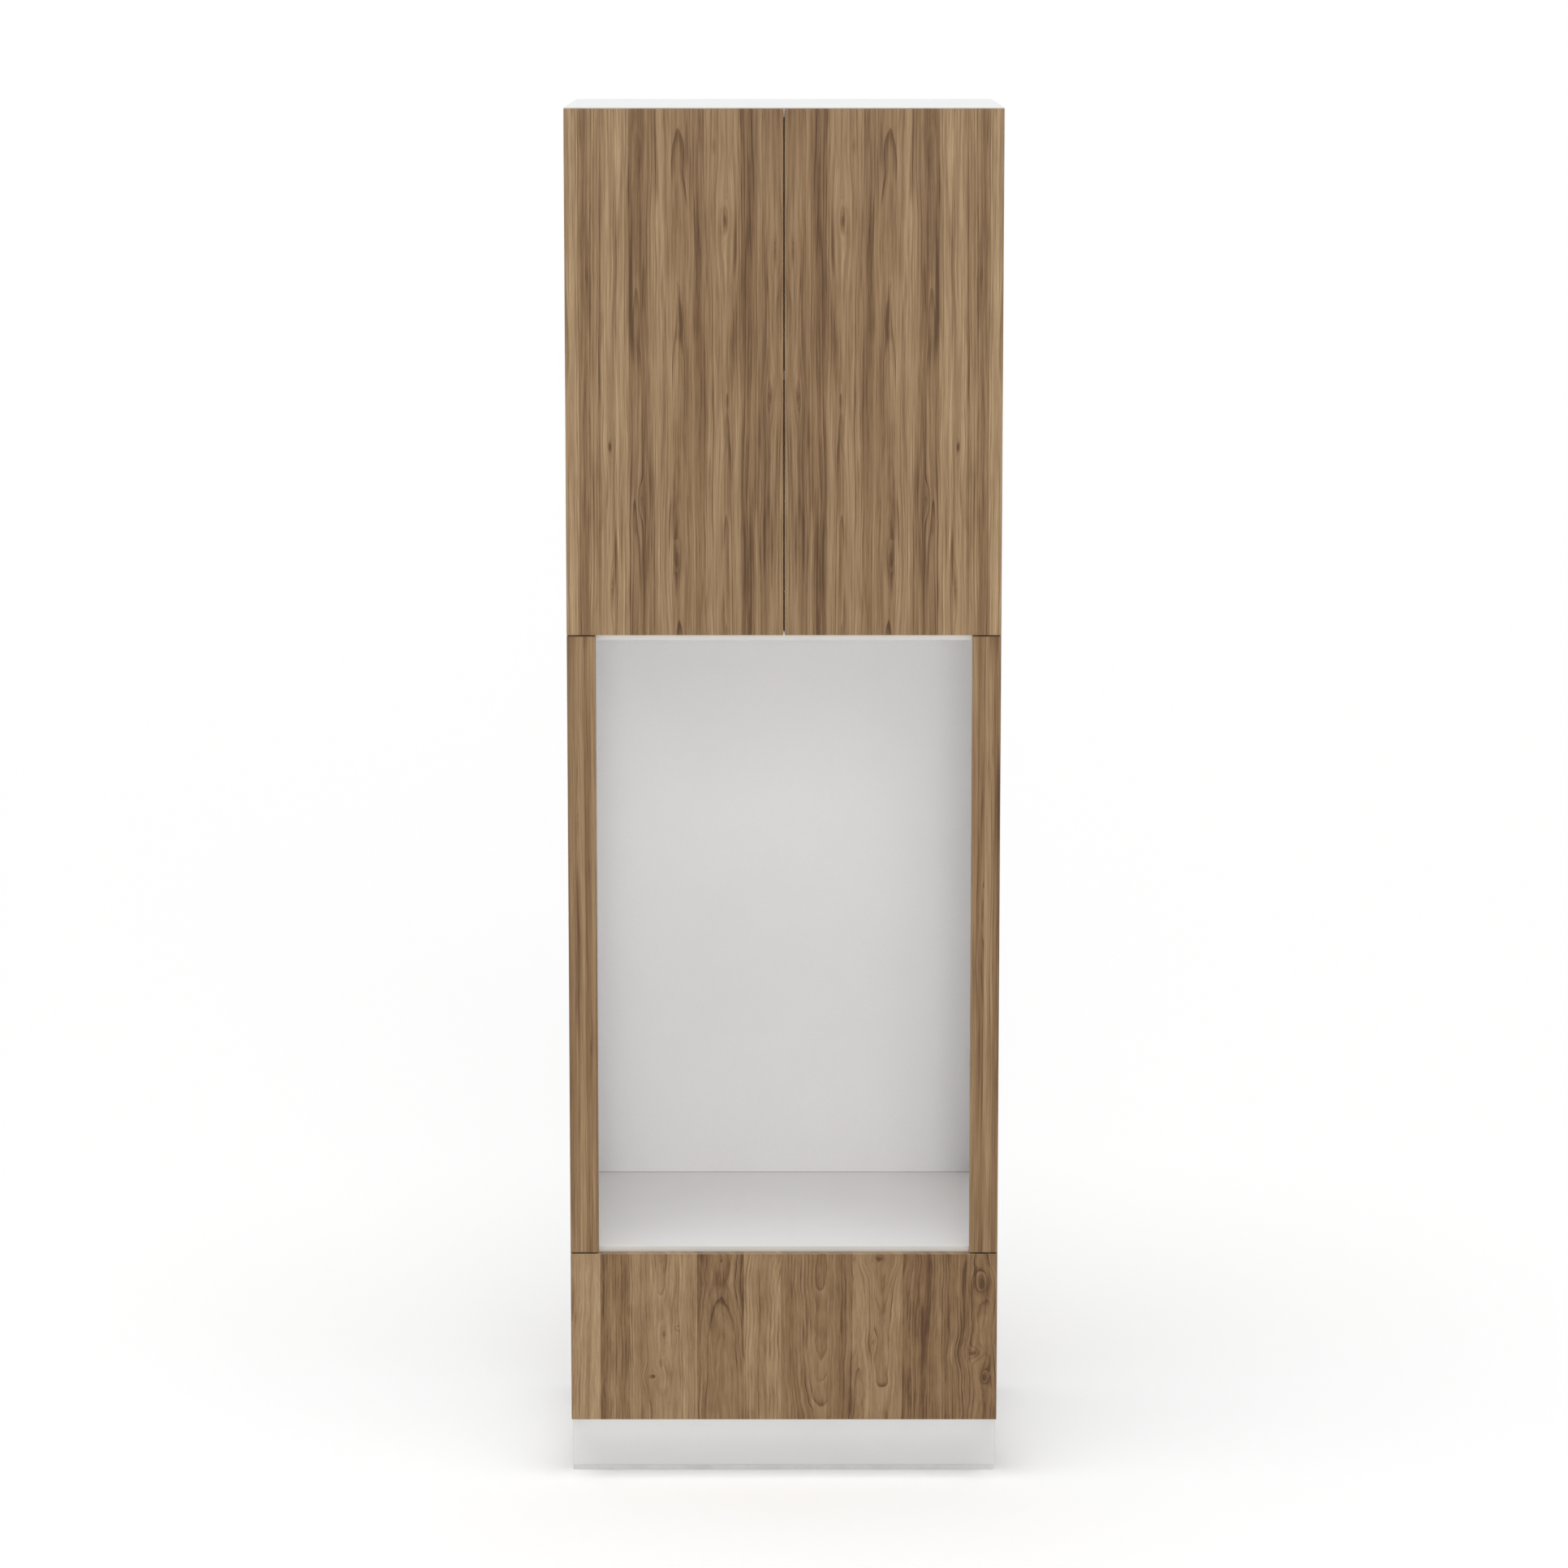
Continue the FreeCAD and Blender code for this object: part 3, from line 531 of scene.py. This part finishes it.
FINISH = {
    walnut_door: ["door_left", "door_right"],
    walnut_drawer: ["drawer_front"],
    walnut_filler_l: ["filler_strip_left"],
    walnut_filler_r: ["filler_strip_right"],
    side_mat: ["side_panel_left", "side_panel_right"],
    top_mat: ["top_panel"],
    shelf_mat: ["bottom_panel", "niche_floor_panel", "niche_ceiling_panel"],
    loose_mat: ["adjustable_shelf"],
    rail_mat: ["back_rail_top", "back_rail_bottom"],
    plinth_mat: ["plinth_board"],
    back_mat: ["back_panel_upper", "back_panel_lower"],
    batten_mat: ["filler_batten_left", "filler_batten_right"],
    dbox_mat: ["drawer_subfront", "drawer_back", "drawer_side_left", "drawer_side_right"],
    dbot_mat: ["drawer_bottom"],
    zinc_sheet: ["runner_outer_rails", "runner_middle_rails", "runner_inner_rails",
                 "runner_outer_cages", "runner_inner_cages"],
    zinc_cast: ["cam_locks", "hinge_plates"],
    nickel: ["hinge_arms", "hinge_cups_left", "hinge_cups_right", "shelf_pins"],
    screw_zinc: ["cam_bolts", "hinge_arm_screws", "hinge_cup_screws_left", "hinge_cup_screws_right",
                 "system_screws", "chipboard_screws", "drawer_screws"],
    ball_steel: ["runner_outer_balls", "runner_inner_balls"],
    grey_plastic: ["latch_housings", "latch_plunger_left", "latch_plunger_right", "drawer_latch_plungers"],
    clear_plastic: ["door_bumper_left", "door_bumper_right", "drawer_bumpers"],
    seal_plastic: ["plinth_seal"],
    black_plastic: ["leg_sockets", "plinth_clips", "foot_front_left", "foot_front_right",
                    "foot_rear_left", "foot_rear_right"],
    beech: ["wood_dowels"],
}
done = set()
for mat, names in FINISH.items():
    for n in names:
        o = N[n]
        if len(o.data.materials) == 0:
            o.data.materials.append(mat)
        for slot in o.material_slots:
            slot.link = "OBJECT"
            slot.material = mat
        done.add(n)
assert done == set(N), sorted(set(N) - done)

# softened arrises on the plain boards and the latch plungers; the fronts carry theirs
# already, and the bored boards stay sharp, since a bevel there collapses at the bores
ARRIS = {"adjustable_shelf": 0.0005, "plinth_board": 0.0005, "latch_plunger_left": 0.0006,
         "latch_plunger_right": 0.0006, "drawer_latch_plungers": 0.0006}
for n, width in ARRIS.items():
    w = N[n].modifiers.new("weld", "WELD")
    w.merge_threshold = 0.000005
    flat = N[n].modifiers.new("flat", "DECIMATE")
    flat.decimate_type = "DISSOLVE"
    flat.angle_limit = math.radians(0.2)
    m = N[n].modifiers.new("arris", "BEVEL")
    m.width = width
    m.segments = 2
    m.limit_method = "ANGLE"
    m.angle_limit = math.radians(60)
    m.use_clamp_overlap = True
    wn = N[n].modifiers.new("shade", "WEIGHTED_NORMAL")
    wn.keep_sharp = False
    wn.weight = 60

# ------------------------------------------------------------------ floor, light, camera
bpy.ops.mesh.primitive_circle_add(vertices=96, radius=3000.0, fill_type="NGON", location=(0, 0, -0.0005))
floor = bpy.context.object
floor.name = "studio_floor"
t = Tree("studio_floor")
floor.data.materials.append(t.finish((0.97, 0.97, 0.97, 1.0), 0.85, None, Specular_IOR_Level=0.1,
                                      Emission_Color=(1.0, 1.0, 1.0, 1.0), Emission_Strength=0.11))

scene = bpy.context.scene
world = bpy.data.worlds.new("studio")
scene.world = world
world.use_nodes = True
wn = world.node_tree
bg = next(n for n in wn.nodes if n.type == "BACKGROUND")
bg.inputs[0].default_value = (1.0, 0.998, 0.995, 1.0)
bg.inputs[1].default_value = 0.125
bg2 = wn.nodes.new("ShaderNodeBackground")
bg2.inputs[0].default_value = (1.0, 1.0, 1.0, 1.0)
bg2.inputs[1].default_value = 1.0
lp = wn.nodes.new("ShaderNodeLightPath")
mx = wn.nodes.new("ShaderNodeMixShader")
out = next(n for n in wn.nodes if n.type == "OUTPUT_WORLD")
seen = wn.nodes.new("ShaderNodeMath")
seen.operation = "MAXIMUM"
wn.links.new(lp.outputs["Is Camera Ray"], seen.inputs[0])
wn.links.new(lp.outputs["Is Glossy Ray"], seen.inputs[1])
wn.links.new(seen.outputs[0], mx.inputs[0])
wn.links.new(bg.outputs[0], mx.inputs[1])
wn.links.new(bg2.outputs[0], mx.inputs[2])
wn.links.new(mx.outputs[0], out.inputs["Surface"])


def sun(name, direction, strength, angle):
    d = bpy.data.lights.new(name, "SUN")
    d.energy = strength
    d.angle = math.radians(angle)
    o = bpy.data.objects.new(name, d)
    scene.collection.objects.link(o)
    o.rotation_euler = Vector(direction).to_track_quat("-Z", "Y").to_euler()
    return o


sun("top_light", (0.04, 0.18, -1.0), 2.30, 60.0)
sun("front_low", (-0.02, 1.0, -0.08), 0.37, 9.0)
sun("front_high", (-0.06, 1.0, -0.42), 0.44, 24.0)

cam_data = bpy.data.cameras.new("camera")
cam = bpy.data.objects.new("camera", cam_data)
scene.collection.objects.link(cam)
cam.location = (0.0, -8.641, 2.459)
cam.rotation_euler = (math.radians(90.0 - 8.853), 0.0, 0.0)
cam_data.lens = 120.3
cam_data.sensor_width = 36.0
cam_data.clip_end = 8000.0
scene.camera = cam

scene.view_settings.view_transform = "Standard"
scene.view_settings.look = "None"
scene.view_settings.exposure = 0.0
scene.view_settings.gamma = 1.0
